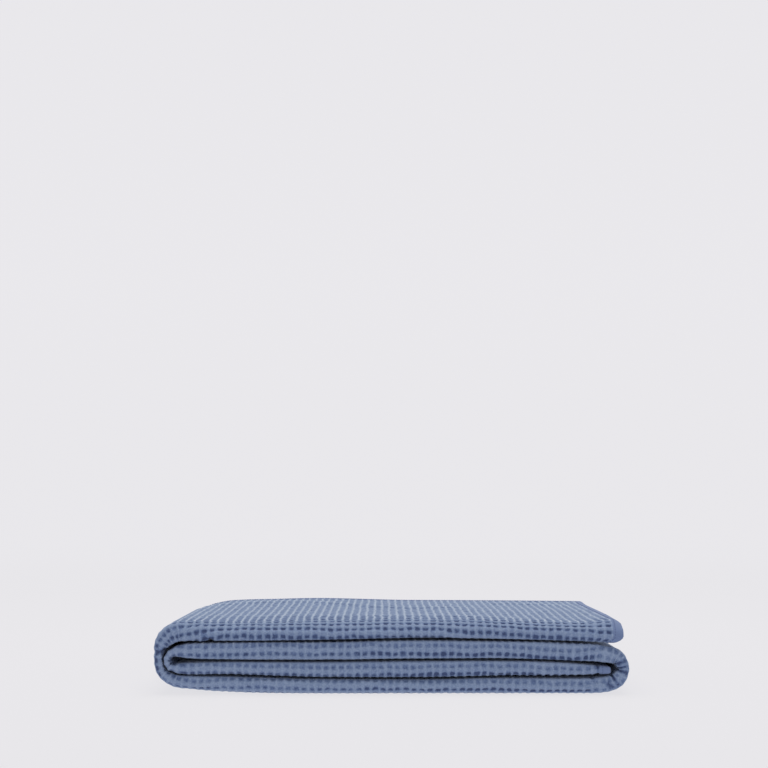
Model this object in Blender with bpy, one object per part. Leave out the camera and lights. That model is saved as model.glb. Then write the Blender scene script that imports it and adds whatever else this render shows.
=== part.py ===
"""Waffle weave cotton blanket, folded for a shelf.

The cloth is folded in four across its width, so that one long fold faces the front (-Y),
and this strip of four layers is then rolled over in four bands, one on top of the other.
Tables are in millimetres. The object is in metres, +Z up, and lies on z = 0.
"""

import math

import bmesh
import bpy
from mathutils import Vector

OBJECT_NAME = "waffle_weave_blanket"
NODE_NAME = "blanket"
METRES = 0.001

CLOTH = 3.2                 # thickness of one layer of the waffle weave, where it is not pressed
LAYERS = 4                  # layers in one band
PRESSED = 0.2               # a layer is at most this share of its band's thickness
DEPTH = 378.0               # from the front fold to the back edge of the outer layer
BACK_CREASE = 373.0         # from the front fold to the crease that joins the third and fourth layers
BACK_EDGE = 367.0           # from the front fold to the back edge of the second layer
INNER_CORNER = 3.8          # rounding of the front fold on the band's inner face
SHORTEST_FLAT = 0.5         # upright part of a front fold, between its two roundings
SOFT_FROM = 6.0             # the front edge of a bend is pressed flat up to here ...
SOFT_TO = 28.0              # ... and has its full thickness from here back

# One row for each place along the strip of four layers, from the hem in the middle of the
# roll to the hem at the top right. x and z are the middle of the strip at its front edge.
COLUMNS = ("x", "z", "front_thick", "body_thick", "drawn_in",
           "roll_deep", "roll_high", "inner_fold", "steps")
FOLD_LINE = (
    # place                    x     z   front  body  drawn  roll  roll  inner steps
    #                                    thick  thick  in    deep  high  fold
    ("inner hem",            222.0, 25.6, 10.4, 11.8, -2.0,  3.8,  3.8, 30.0, 2),
    ("third band, right",    180.0, 24.0, 14.4, 14.4,  0.0,  3.8,  3.8, 16.0, 1),
    ("third band, rise",     115.0, 25.5, 16.0, 16.0,  0.0,  3.8,  3.8, 12.0, 2),
    ("third band, middle",    30.0, 24.2, 17.4, 17.4,  0.0,  3.8,  3.8, 12.0, 2),
    ("third band, dip",      -70.0, 23.6, 16.6, 16.6,  0.0,  3.8,  3.8, 12.0, 2),
    ("third band, left",    -170.0, 25.1, 14.8, 14.8,  0.0,  3.8,  3.8, 16.0, 2),
    ("inner bend, below",   -208.0, 25.0, 12.6, 13.0, -1.0,  3.8,  3.8, 30.0, 3),
    ("inner bend, low",     -224.6, 27.7,  7.9, 13.0,  8.6,  3.6,  3.4, 30.0, 3),
    ("inner bend",          -228.0, 34.4,  7.4, 13.0,  9.0,  3.6,  3.0, 30.0, 3),
    ("inner bend, high",    -223.8, 41.3,  9.4, 12.6,  7.8,  3.6,  3.4, 30.0, 3),
    ("inner bend, above",   -207.0, 43.8, 15.2, 13.6,  0.0,  3.8,  3.8, 30.0, 2),
    ("second band, left",   -170.0, 43.0, 18.6, 18.6,  0.0,  3.8,  3.8, 16.0, 2),
    ("second band, dip",     -70.0, 42.7, 19.6, 19.6,  0.0,  3.8,  3.8, 12.0, 2),
    ("second band, middle",   30.0, 44.1, 20.4, 20.4,  0.0,  3.8,  3.8, 12.0, 2),
    ("second band, rise",    115.0, 44.0, 18.8, 18.8,  0.0,  3.8,  3.8, 12.0, 1),
    ("second band, right",   185.0, 41.9, 19.2, 19.0,  0.0,  3.8,  3.8, 16.0, 1),
    ("right bend, above",    214.0, 40.8, 17.4, 16.0,  0.0,  4.5,  4.5, 26.0, 2),
    ("right bend, high",     229.6, 35.8, 14.0, 13.4, -0.2,  6.0,  5.0, 30.0, 3),
    ("right bend",           235.3, 26.0, 12.4, 13.4, -0.5,  6.0,  5.0, 30.0, 3),
    ("right bend, low",      231.0, 16.4, 14.6, 13.8, -0.4,  6.0,  5.0, 30.0, 2),
    ("right bend, below",    214.0,  9.8, 16.8, 16.8,  0.0,  9.0,  7.0, 26.0, 2),
    ("bottom band, right",   180.0,  7.7, 15.8, 15.8,  0.0, 15.0,  9.5, 20.0, 1),
    ("bottom band, rise",    115.0,  8.0, 16.4, 16.4,  0.0, 15.0,  9.5, 20.0, 2),
    ("bottom band, middle",   30.0,  7.0, 14.4, 14.4,  0.0, 15.0,  9.5, 20.0, 2),
    ("bottom band, dip",     -70.0,  7.0, 14.4, 14.4,  0.0, 16.0,  9.5, 20.0, 2),
    ("bottom band, left",   -160.0,  8.8, 15.4, 15.4,  0.0, 16.0,  9.5, 20.0, 1),
    ("left bend, below",    -202.0, 10.9, 13.2, 13.2,  0.0, 13.0,  8.0, 26.0, 2),
    ("left bend, low",      -220.8, 14.0, 11.2, 12.2,  0.0,  8.0,  6.5, 28.0, 3),
    ("left bend, rising",   -232.5, 22.0,  9.4, 13.0,  2.0,  7.0,  6.0, 30.0, 3),
    ("left bend",           -236.8, 38.0,  8.8, 13.4,  2.4,  6.0,  5.0, 30.0, 3),
    ("left bend, high",     -230.2, 56.3, 15.6, 15.2,  0.2,  6.0,  5.5, 30.0, 3),
    ("left bend, above",    -213.0, 62.0, 18.6, 18.6,  0.0, 11.0, 10.0, 28.0, 2),
    ("top band, left",      -165.0, 63.4, 20.2, 20.2,  0.0, 25.0, 16.0, 32.0, 2),
    ("top band, dip",        -70.0, 64.4, 21.6, 21.6,  0.0, 28.0, 17.4, 32.0, 2),
    ("top band, middle",      30.0, 65.7, 20.6, 20.6,  0.0, 28.0, 16.4, 32.0, 2),
    ("top band, rise",       115.0, 65.0, 21.2, 21.2,  0.0, 28.0, 17.0, 32.0, 2),
    ("top band, right",      180.0, 64.0, 22.2, 22.2,  0.0, 28.0, 17.8, 32.0, 2),
    ("outer hem",            236.0, 63.0, 23.2, 23.2, -6.5, 28.0, 18.6, 32.0, 0),
)

# The layers across the strip, as shares of the way from the front fold to the back.
OUTER_LAYER = (1.0, 0.86, 0.745, 0.64, 0.45, 0.2, 0.06, 0.03, 0.012)
FOURTH_LAYER = (0.012, 0.03, 0.062, 0.35, 0.7)
THIRD_LAYER = (0.5,)
SECOND_LAYER = (0.5, 1.0)
OUTER_CORNER_STEPS = 5
INNER_CORNER_STEPS = 3
CREASE_STEPS = 4

# The pile is a little lower at the back, but for a hump near its left end, and the top has
# a soft ridge along it, which fades out toward the left bend.
BACK_DROP = 0.055           # share of the height lost at the back
HUMP_AT = -150.0            # across the front, from the middle
HUMP_WIDTH = 48.0
RIDGE_AT = 287.0            # distance of the ridge behind the front
RIDGE_WIDTH = 34.0
RIDGE_HEIGHT = 0.8
RIDGE_FROM = -215.0         # across the front: the ridge starts here ...
RIDGE_FULL = -160.0         # ... and has its full height from here
TOP_BAND_ABOVE = 50.0       # the middle of the strip is this high on the top band alone

# The hem's lower corner is pulled back at the top band's end.
END_FROM = 190.0
END_PULLED = 8.0
END_HIGH = 7.0

# The fronts of the bands stand forward and back of each other by about a millimetre.
FRONT_WAVE = 0.9
WAVE_LENGTH = 310.0
WAVE_RISE = 69.0            # height over which the wave moves along by one length
WAVE_REACH = 70.0

COTTON_COLOUR = (0.155, 0.205, 0.330, 1.0)
COTTON_ROUGHNESS = 0.95


def eased(low, high, value):
    """Rise smoothly from 0 at low to 1 at high."""
    share = min(max((value - low) / (high - low), 0.0), 1.0)
    return share * share * (3.0 - 2.0 * share)


def row_slopes(places, values):
    """Slope of a column at each row, held back where a curve would run past its rows."""
    gaps = [b - a for a, b in zip(places, places[1:])]
    rises = [(b - a) / gap for a, b, gap in zip(values, values[1:], gaps)]
    slopes = [rises[0]]
    for before, after, gap_before, gap_after in zip(rises, rises[1:], gaps, gaps[1:]):
        if before * after <= 0.0:
            slopes.append(0.0)
            continue
        slope = (before * gap_after + after * gap_before) / (gap_before + gap_after)
        most = 3.0 * min(abs(before), abs(after))
        slopes.append(math.copysign(min(abs(slope), most), slope))
    slopes.append(rises[-1])
    return slopes


def curve_value(start, end, start_slope, end_slope, gap, share):
    """Value and slope of the cubic between two rows."""
    square = share * share
    cube = square * share
    value = (
        (2.0 * cube - 3.0 * square + 1.0) * start
        + (3.0 * square - 2.0 * cube) * end
        + (cube - 2.0 * square + share) * gap * start_slope
        + (cube - square) * gap * end_slope
    )
    slope = (
        6.0 * (square - share) * (start - end) / gap
        + (3.0 * square - 4.0 * share + 1.0) * start_slope
        + (3.0 * square - 2.0 * share) * end_slope
    )
    return value, slope


def curved(rows):
    """Every column's value and slope at each step along the path through the rows."""
    places = [0.0]
    for row, after in zip(rows, rows[1:]):
        places.append(places[-1] + math.hypot(after["x"] - row["x"], after["z"] - row["z"]))
    names = COLUMNS[:-1]
    slopes = {name: row_slopes(places, [row[name] for row in rows]) for name in names}
    found = []
    for index, (row, after) in enumerate(zip(rows, rows[1:])):
        gap = places[index + 1] - places[index]
        last = 1 if after is rows[-1] else 0
        for step in range(row["steps"] + last):
            station = {}
            for name in names:
                station[name], station[name + "_slope"] = curve_value(
                    row[name], after[name], slopes[name][index], slopes[name][index + 1],
                    gap, step / row["steps"])
            found.append(station)
    return found


def stations():
    """The strip at each step: its front edge, and in "body" its path further back."""
    rows = [dict(zip(COLUMNS, row[1:])) for row in FOLD_LINE]
    body_rows = [{**row, "x": row["x"] + row["drawn_in"]} for row in rows]
    return [{**front, "body": body} for front, body in zip(curved(rows), curved(body_rows))]


def thickness_at(station, depth):
    """Thickness of the band at a distance behind its front fold."""
    share = eased(SOFT_FROM, SOFT_TO, depth)
    return station["front_thick"] + (station["body_thick"] - station["front_thick"]) * share


def layer_thickness(station):
    """Thickness of one layer, thinner where a bend presses it."""
    return min(CLOTH, PRESSED * station["body_thick"])


def arc(centre_depth, centre_height, deep, high, start, end, steps, inward=False):
    """Points round a quarter or half ellipse, each with the way that the cloth's face looks."""
    points = []
    for step in range(steps + 1):
        angle = math.radians(start + (end - start) * step / steps)
        way = Vector((high * math.cos(angle), deep * math.sin(angle))).normalized()
        if inward:
            way = -way
        points.append((centre_depth + deep * math.cos(angle),
                       centre_height + high * math.sin(angle), way.x, way.y))
    return points


def section(station):
    """Middle of the cloth across the strip, from the outer layer's free edge to the second's.

    Each point is its depth behind the front, its height over the band's inner face, and
    the way that the cloth's right side looks there.
    """
    layer = layer_thickness(station)
    half = layer / 2.0
    front = station["front_thick"]
    deep = station["roll_deep"]
    high = min(station["roll_high"], front - INNER_CORNER - SHORTEST_FLAT)
    inner_fold = station["inner_fold"]
    space = (thickness_at(station, inner_fold) - layer) / (LAYERS - 1)

    points = []
    for share in OUTER_LAYER:
        depth = deep + (DEPTH - deep) * share
        points.append((depth, thickness_at(station, depth) - half, 0.0, 1.0))
    for depth, height, *way in arc(deep, front - high, deep - half, high - half,
                                   90.0, 180.0, OUTER_CORNER_STEPS):
        points.append((depth, height + thickness_at(station, depth) - front, *way))
    points += arc(INNER_CORNER, INNER_CORNER, INNER_CORNER - half, INNER_CORNER - half,
                  180.0, 270.0, INNER_CORNER_STEPS)
    for share in FOURTH_LAYER:
        points.append((INNER_CORNER + (BACK_CREASE - INNER_CORNER) * share, half, 0.0, -1.0))
    points += arc(BACK_CREASE, half + space / 2.0, space / 2.0, space / 2.0,
                  -90.0, 90.0, CREASE_STEPS)
    for share in THIRD_LAYER:
        points.append((inner_fold + (BACK_CREASE - inner_fold) * share, half + space, 0.0, 1.0))
    points += arc(inner_fold, half + space * 1.5, space / 2.0, space / 2.0,
                  270.0, 90.0, CREASE_STEPS, inward=True)
    for share in SECOND_LAYER:
        points.append((inner_fold + (BACK_EDGE - inner_fold) * share, half + 2.0 * space, 0.0, -1.0))
    return points


def lie(x, depth, z):
    """Move a point as the pile lies: lower at the back, its fronts uneven, flat on the floor."""
    level = 1.0 - math.exp(-(((x - HUMP_AT) / HUMP_WIDTH) ** 2))
    height = z * (1.0 - BACK_DROP * level * depth / DEPTH)
    wave = math.sin(math.tau * (x / WAVE_LENGTH + z / WAVE_RISE))
    forward = FRONT_WAVE * wave * (1.0 - eased(0.0, WAVE_REACH, depth))
    return Vector((x, depth + forward - (DEPTH - FRONT_WAVE) / 2.0, max(height, 0.0))) * METRES


def fold(station, point, side):
    """Where a point of the cloth lies: side is 1 on its right side and -1 on its wrong side."""
    depth, height, way_depth, way_height = point
    off = side * layer_thickness(station) / 2.0
    depth += off * way_depth
    height += off * way_height
    share = eased(SOFT_FROM, SOFT_TO, depth)
    body = station["body"]
    middle = Vector((station["x"], station["z"])).lerp(Vector((body["x"], body["z"])), share)
    along = Vector((station["x_slope"], station["z_slope"])).normalized()
    along = along.lerp(Vector((body["x_slope"], body["z_slope"])).normalized(), share).normalized()
    off_middle = height - thickness_at(station, depth) / 2.0
    x = middle.x - along.y * off_middle
    z = middle.y + along.x * off_middle
    if station["z"] > TOP_BAND_ABOVE and height < END_HIGH:
        end = eased(END_FROM, FOLD_LINE[-1][1], station["x"])
        x -= END_PULLED * end * (1.0 - height / END_HIGH) ** 2
    if station["z"] > TOP_BAND_ABOVE and off_middle > 0.0:
        ridge = RIDGE_HEIGHT * eased(RIDGE_FROM, RIDGE_FULL, x) * max(way_height, 0.0)
        z += ridge * math.exp(-(((depth - RIDGE_AT) / RIDGE_WIDTH) ** 2))
    return lie(x, depth, z)


def make_cloth():
    """A flat sheet with its two sides, each point of which is then laid in its folded place."""
    line = stations()
    sections = [section(station) for station in line]
    across = len(sections[0])
    sheet = bmesh.new()
    bmesh.ops.create_grid(sheet, x_segments=len(line) - 1, y_segments=across - 1, size=1.0)
    bmesh.ops.solidify(sheet, geom=sheet.faces[:], thickness=0.1)
    middle = sum(vert.co.z for vert in sheet.verts) / len(sheet.verts)
    for vert in sheet.verts:
        column = round((vert.co.x + 1.0) / 2.0 * (len(line) - 1))
        row = round((1.0 - vert.co.y) / 2.0 * (across - 1))
        side = 1 if vert.co.z > middle else -1
        vert.co = fold(line[column], sections[column][row], side)
    mesh = bpy.data.meshes.new(NODE_NAME)
    sheet.to_mesh(mesh)
    sheet.free()
    mesh.shade_smooth()
    return mesh


def make_cotton():
    material = bpy.data.materials.new("blue_cotton")
    material.use_nodes = True
    surface = material.node_tree.nodes["Principled BSDF"]
    surface.inputs["Base Color"].default_value = COTTON_COLOUR
    surface.inputs["Roughness"].default_value = COTTON_ROUGHNESS
    surface.inputs["Metallic"].default_value = 0.0
    return material


for existing in list(bpy.data.objects):
    bpy.data.objects.remove(existing)
collection = bpy.data.collections.new(OBJECT_NAME)
bpy.context.scene.collection.children.link(collection)
blanket = bpy.data.objects.new(NODE_NAME, make_cloth())
blanket.data.materials.append(make_cotton())
collection.objects.link(blanket)
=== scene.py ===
"""Folded waffle weave cotton blanket, lying on a pale floor."""

import bisect
import math

import bmesh
import bpy
from mathutils import Matrix, Vector, noise


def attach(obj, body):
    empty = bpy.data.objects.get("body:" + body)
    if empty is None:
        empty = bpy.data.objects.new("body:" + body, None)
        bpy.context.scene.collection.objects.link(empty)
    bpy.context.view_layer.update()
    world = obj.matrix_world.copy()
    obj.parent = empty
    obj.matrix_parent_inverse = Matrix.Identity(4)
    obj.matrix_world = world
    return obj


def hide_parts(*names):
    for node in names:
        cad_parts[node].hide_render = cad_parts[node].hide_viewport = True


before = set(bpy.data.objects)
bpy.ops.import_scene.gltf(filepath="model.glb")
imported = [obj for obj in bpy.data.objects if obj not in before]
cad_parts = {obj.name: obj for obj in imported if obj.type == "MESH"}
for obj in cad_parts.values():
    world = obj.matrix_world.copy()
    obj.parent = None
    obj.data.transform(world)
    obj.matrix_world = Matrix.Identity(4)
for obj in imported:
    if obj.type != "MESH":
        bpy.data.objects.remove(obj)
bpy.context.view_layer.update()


# ---- Camera -----------------------------------------------------------------------------
# The photograph looks square at the front of the pile through a long lens, from a little
# above it and tipped a few degrees down.

camera_data = bpy.data.cameras.new("long_lens")
camera_data.sensor_width = 36.0
camera_data.lens = 80.4
camera_data.clip_start = 0.05
camera_data.clip_end = 50.0
camera = bpy.data.objects.new("camera", camera_data)
camera.location = (-0.00765, -1.9386, 0.2037)
camera.rotation_euler = (math.radians(93.637), 0.0, 0.0)
bpy.context.scene.collection.objects.link(camera)
bpy.context.scene.camera = camera


# ---- Cloth ------------------------------------------------------------------------------
# One sheet of waffle weave cotton, 1.5 m by 2 m, folded in four across its width and then
# rolled over in four bands. Its right side stands in 8 mm cells: ridges where the yarns
# float on top, and square pits where they bind. Lengths are in millimetres.

MM = 0.001
CELL = 8.0
CLOTH = 3.2                 # thickness of one layer
LAYERS = 4
PRESSED = 0.2               # a layer's share of its band's thickness in a tight bend
DEPTH = 378.0               # from the front to the outer layer's free edge
BACK_CREASE = 373.0         # to the crease between the outer layers
BACK_EDGE = 367.0           # to the inner layers' end
INNER_CORNER = 3.8          # radius of the front fold's lower corner
SHORTEST_FLAT = 0.5         # least upright part of the front fold
SOFT_FROM = 20.0            # depths between which a band takes its inner shape
SOFT_TO = 42.0
SOFT_DRAWN = 7.0            # later by so much for each millimetre that it is drawn in
HEM = 10.0                  # width of the hem
PIT = 1.7                   # how far a pit lies below the ridges
ARC_STEPS = 12
# The strip's way from its inner hem to its outer one: the middle of its front, how thick it
# is there and further in, how far it is drawn in behind its front, the roll of its outer
# layer over the front, the depth of its inner fold, and how high over its inner face the
# sheet's front crease runs.
COLUMNS = ("x", "z", "front_thick", "body_thick", "drawn_in",
           "roll_deep", "roll_high", "inner_fold", "fold_high")
FOLD_LINE = (
    # place                    x     z   front  body  drawn  roll  roll  inner  fold
    #                                    thick  thick  in    deep  high  fold   high
    ("inner hem",             222.0, 24.4,  6.8,  9.6, -2.0,  3.8,  3.8, 30.0,  3.6),
    ("third band, right",     180.0, 25.4, 12.6, 13.2,  0.0,  3.8,  3.8, 16.0,  9.4),
    ("third band, rise",      115.0, 26.5, 14.8, 15.4,  0.0,  3.8,  3.8, 12.0,  9.1),
    ("third band, middle",     30.0, 25.5, 16.4, 17.0,  0.0,  3.8,  3.8, 12.0,  9.6),
    ("third band, dip",       -70.0, 25.0, 15.1, 15.7,  0.0,  3.8,  3.8, 12.0,  9.0),
    ("third band, left",     -170.0, 26.6, 12.3, 12.9,  0.0,  3.8,  3.8, 16.0,  7.2),
    ("inner bend, below",    -208.0, 26.0, 11.6, 12.4, -1.0,  3.8,  3.8, 30.0,  6.0),
    ("inner bend, low",      -224.6, 27.7,  7.5, 11.4,  6.4,  3.6,  3.4, 30.0,  4.1),
    ("inner bend",           -228.0, 34.4,  7.0, 11.0,  6.6,  3.6,  3.0, 30.0,  4.0),
    ("inner bend, high",     -223.8, 41.3,  8.3, 11.4,  5.8,  3.6,  3.4, 30.0,  4.8),
    ("inner bend, above",   -207.0, 43.8, 14.6, 13.6,  0.0,  3.8,  3.8, 30.0,  7.3),
    ("second band, left",    -170.0, 43.6, 16.7, 17.3,  0.0,  3.8,  3.8, 16.0,  9.6),
    ("second band, dip",      -70.0, 43.7, 17.9, 18.5,  0.0,  3.8,  3.8, 12.0, 10.4),
    ("second band, middle",    30.0, 45.3, 18.5, 19.1,  0.0,  3.8,  3.8, 12.0,  9.0),
    ("second band, rise",     115.0, 44.9, 17.3, 17.9,  0.0,  3.8,  3.8, 12.0,  8.3),
    ("second band, right",    185.0, 42.7, 17.9, 18.3,  0.0,  3.8,  3.8, 16.0,  6.6),
    ("right bend, above",     214.0, 40.8, 17.0, 16.0,  0.0,  4.5,  4.5, 26.0, 10.0),
    ("right bend, high",      229.8, 36.6, 15.2, 14.6, -0.2,  6.0,  5.0, 30.0,  6.8),
    ("right bend",           235.3, 26.0, 12.4, 13.4, -0.5,  6.0,  5.0, 30.0,  6.0),
    ("right bend, low",      231.0, 16.4, 14.6, 13.8, -0.4,  6.0,  5.0, 30.0,  7.0),
    ("right bend, below",     214.0,  9.6, 16.4, 16.8,  0.0,  9.0,  7.0, 26.0,  9.0),
    ("bottom band, right",    180.0,  8.3, 16.6, 17.2,  0.0, 15.0,  9.5, 20.0,  9.2),
    ("bottom band, rise",     115.0,  8.3, 16.8, 17.4,  0.0, 15.0,  9.5, 20.0,  7.7),
    ("bottom band, middle",    30.0,  7.4, 15.0, 15.6,  0.0, 15.0,  9.5, 20.0,  5.7),
    ("bottom band, dip",      -70.0,  7.6, 15.4, 16.0,  0.0, 16.0,  9.5, 20.0,  5.3),
    ("bottom band, left",    -160.0,  9.5, 16.6, 17.2,  0.0, 16.0,  9.5, 20.0,  6.4),
    ("left bend, below",     -202.0, 11.5, 14.4, 14.4,  0.0, 13.0,  8.0, 26.0,  8.5),
    ("left bend, low",       -221.3, 14.0, 12.4, 12.2,  0.0,  8.0,  6.5, 28.0,  6.5),
    ("left bend, rising",    -233.0, 21.8, 10.4, 13.0,  2.0,  7.0,  6.0, 30.0,  3.6),
    ("left bend",            -237.1, 38.0,  9.6, 13.4,  2.0,  6.0,  5.0, 30.0,  2.4),
    ("left bend, high",      -229.0, 57.1, 18.6, 18.4, -0.6,  6.0,  5.5, 30.0,  8.6),
    ("left bend, above",     -214.0, 63.5, 20.2, 20.4, -0.6, 16.0, 11.0, 28.0, 10.4),
    ("top band, left",       -165.0, 63.4, 19.1, 19.7,  0.0, 38.0, 16.0, 40.0, 12.9),
    ("top band, dip",         -70.0, 65.1, 20.4, 21.0,  0.0, 40.0, 17.0, 42.0, 12.3),
    ("top band, middle",       30.0, 66.4, 19.3, 19.9,  0.0, 34.0, 15.8, 36.0, 11.3),
    ("top band, rise",        115.0, 65.6, 20.1, 20.7,  0.0, 28.0, 16.6, 32.0,  8.9),
    ("top band, right",       180.0, 64.5, 21.3, 21.9,  0.0, 28.0, 17.4, 32.0,  7.1),
    ("outer hem",             235.4, 63.2, 22.8, 23.4, -3.2, 28.0, 18.4, 32.0,  6.8),
)
# Lie of the pile: lower at the back but for a hump, a soft crest slantwise over its top,
# the top hem pulled back below and out at its back corner, and uneven fronts.
BACK_DROP = 0.055           # share of the height
HUMP = (-245.0, -155.0, -125.0, 35.0)
CREST_AT = 227.0            # depth of the crest at the middle, then its slant along
CREST_SLANT = -0.52
CREST_WIDTH = 34.0
CREST_HIGH = 0.8
CREST_ENDS = (-215.0, -160.0, 60.0, 150.0)
TOP_BAND_ABOVE = 50.0       # the top band's fold line is all above this height
END_FROM = 190.0
END_PULLED = 8.0
END_HIGH = 7.0
CORNER_FROM = 290.0
CORNER_OUT = 3.0
FRONT_WAVE = 0.9
FRONT_SAG = 2.6             # the top's front edge sinks at the right
SAG_ALONG = (60.0, 170.0, 194.0, 226.0)
SAG_DEEP = (40.0, 200.0)
SAG_HIGH = 8.0              # over the middle of the band, where all of it is felt
HEM_DROOP = 3.4             # and the hem's front corner more
DROOP_ALONG = (227.0, 237.0)
DROOP_DEEP = (15.0, 110.0)
CORNER_DROP = 3.6           # the back corner sinks at the left
DROP_ALONG = (-236.0, -192.0)
DROP_DEEP = (250.0, 378.0)
WAVE_LENGTH = 310.0
WAVE_RISE = 69.0
WAVE_REACH = 70.0


def eased(low, high, value):
    """Rise smoothly from 0 at low to 1 at high."""
    share = min(max((value - low) / (high - low), 0.0), 1.0)
    return share * share * (3.0 - 2.0 * share)


def between(ends, value):
    """Rise smoothly from 0 to 1 over the first two ends, and fall again over the others."""
    return eased(ends[0], ends[1], value) * (1.0 - eased(ends[2], ends[3], value))


def row_slopes(places, values):
    """Slope of a column at each row, held back where a curve would run past its rows."""
    gaps = [b - a for a, b in zip(places, places[1:])]
    rises = [(b - a) / gap for a, b, gap in zip(values, values[1:], gaps)]
    slopes = [rises[0]]
    for before, after, gap_before, gap_after in zip(rises, rises[1:], gaps, gaps[1:]):
        if before * after <= 0.0:
            slopes.append(0.0)
            continue
        slope = (before * gap_after + after * gap_before) / (gap_before + gap_after)
        most = 3.0 * min(abs(before), abs(after))
        slopes.append(math.copysign(min(abs(slope), most), slope))
    slopes.append(rises[-1])
    return slopes


def curve_value(start, end, start_slope, end_slope, gap, share):
    """Value and slope of the cubic between two rows."""
    square = share * share
    cube = square * share
    value = (
        (2.0 * cube - 3.0 * square + 1.0) * start
        + (3.0 * square - 2.0 * cube) * end
        + (cube - 2.0 * square + share) * gap * start_slope
        + (cube - square) * gap * end_slope
    )
    slope = (
        6.0 * (square - share) * (start - end) / gap
        + (3.0 * square - 4.0 * share + 1.0) * start_slope
        + (3.0 * square - 2.0 * share) * end_slope
    )
    return value, slope


def make_path(drawn):
    """The strip's rows as a path, at its front edge or, drawn in, further back."""
    rows = [dict(zip(COLUMNS, row[1:])) for row in FOLD_LINE]
    for row in rows:
        row["x"] += drawn * row["drawn_in"]
    places = [0.0]
    for row, after in zip(rows, rows[1:]):
        places.append(places[-1] + math.hypot(after["x"] - row["x"], after["z"] - row["z"]))
    values = {name: [row[name] for row in rows] for name in COLUMNS}
    slopes = {name: row_slopes(places, values[name]) for name in COLUMNS}
    return places, values, slopes


def path_at(path, place):
    """Every column's value and slope at a place that is counted in rows."""
    places, values, slopes = path
    index = min(int(place), len(places) - 2)
    gap = places[index + 1] - places[index]
    station = {}
    for name in COLUMNS:
        station[name], station[name + "_slope"] = curve_value(
            values[name][index], values[name][index + 1], slopes[name][index],
            slopes[name][index + 1], gap, place - index)
    return station


def inner_share(station, depth):
    """How far the band has its inner shape: it takes longer where a bend is drawn in."""
    return eased(SOFT_FROM, SOFT_TO + SOFT_DRAWN * max(station["drawn_in"], 0.0), depth)


def thickness_at(station, depth):
    """Thickness of the band at a distance behind its front fold."""
    share = inner_share(station, depth)
    return station["front_thick"] + (station["body_thick"] - station["front_thick"]) * share


def layer_thickness(station):
    """Thickness of one layer, thinner where a bend presses it."""
    return min(CLOTH, PRESSED * station["body_thick"])


def arc(depth, level, deep, high, start, end, share, inward=False):
    """Points round part of an ellipse, with the way that the cloth's right side looks."""
    points = []
    for step in range(ARC_STEPS + 1):
        angle = math.radians(start + (end - start) * step / ARC_STEPS)
        way = Vector((high * math.cos(angle), deep * math.sin(angle))).normalized()
        if inward:
            way = -way
        points.append((depth + deep * math.cos(angle), level + high * math.sin(angle),
                       share, way.x, way.y))
    return points


def section(station):
    """Middle of the cloth from the outer layer's free edge to the second layer's.

    A point is its depth, its level, the share of the band's thickness that adds to the
    level, and the way its right side looks. Also gives the lengths up to each point and to
    the edge, the front fold, the back crease, the inner fold and the other edge.
    """
    half = layer_thickness(station) / 2.0
    front = station["front_thick"]
    deep = station["roll_deep"]
    high = min(station["roll_high"], front - INNER_CORNER - SHORTEST_FLAT)
    inner_fold = station["inner_fold"]
    space = (thickness_at(station, inner_fold) - 2.0 * half) / (LAYERS - 1)
    corner = INNER_CORNER - half
    points = [(DEPTH, -half, 1.0, 0.0, 1.0)]
    points += arc(deep, -high, deep - half, high - half, 90.0, 180.0, 1.0)
    front_from = len(points) - ARC_STEPS - 1
    points += arc(INNER_CORNER, INNER_CORNER, corner, corner, 180.0, 270.0, 0.0)
    front_to = len(points) - 1
    points += arc(BACK_CREASE, half + space / 2.0, space / 2.0, space / 2.0,
                  -90.0, 90.0, 0.0)
    crease = len(points) - ARC_STEPS // 2 - 1
    points += arc(inner_fold, half + space * 1.5, space / 2.0, space / 2.0,
                  270.0, 90.0, 0.0, True)
    fold = len(points) - ARC_STEPS // 2 - 1
    points.append((BACK_EDGE, half + 2.0 * space, 0.0, 0.0, -1.0))
    heights = [level + share * thickness_at(station, depth)
               for depth, level, share, *way in points]
    lengths = [0.0]
    for index in range(1, len(points)):
        lengths.append(lengths[-1] + math.hypot(points[index][0] - points[index - 1][0],
                                                heights[index] - heights[index - 1]))
    wanted = station["fold_high"]
    for index in range(front_from, front_to):
        if heights[index + 1] <= wanted:
            break
    drop = (heights[index] - wanted) / max(heights[index] - heights[index + 1], 1e-6)
    front_fold = lengths[index] + drop * (lengths[index + 1] - lengths[index])
    marks = (0.0, front_fold, lengths[crease], lengths[fold], lengths[-1])
    return points, lengths, marks


def section_point(station, shape, row):
    """The point of a section at a row that is counted in cells from the outer free edge."""
    points, lengths, marks = shape
    panel = min(int(row / PANEL_CELLS), LAYERS - 1)
    start, end = marks[panel], marks[panel + 1]
    along = row - panel * PANEL_CELLS
    if panel == 0:
        plain = (end - start - HEM) / (PANEL_CELLS - 1)
        length = HEM * along if along < 1.0 else HEM + (along - 1.0) * plain
    elif panel == LAYERS - 1:
        plain = (end - start - HEM) / (PANEL_CELLS - 1)
        over = along - (PANEL_CELLS - 1)
        length = along * plain if over < 0.0 else (PANEL_CELLS - 1) * plain + HEM * over
    else:
        length = (end - start) * along / PANEL_CELLS
    length = min(max(start + length, 0.0), lengths[-1])
    index = min(max(bisect.bisect_right(lengths, length) - 1, 0), len(lengths) - 2)
    gap = lengths[index + 1] - lengths[index]
    share = (length - lengths[index]) / gap if gap > 1e-9 else 0.0
    depth, level, thick, way_depth, way_height = (
        a + (b - a) * share for a, b in zip(points[index], points[index + 1]))
    way = Vector((way_depth, way_height)).normalized()
    return depth, level + thick * thickness_at(station, depth), way.x, way.y


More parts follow.
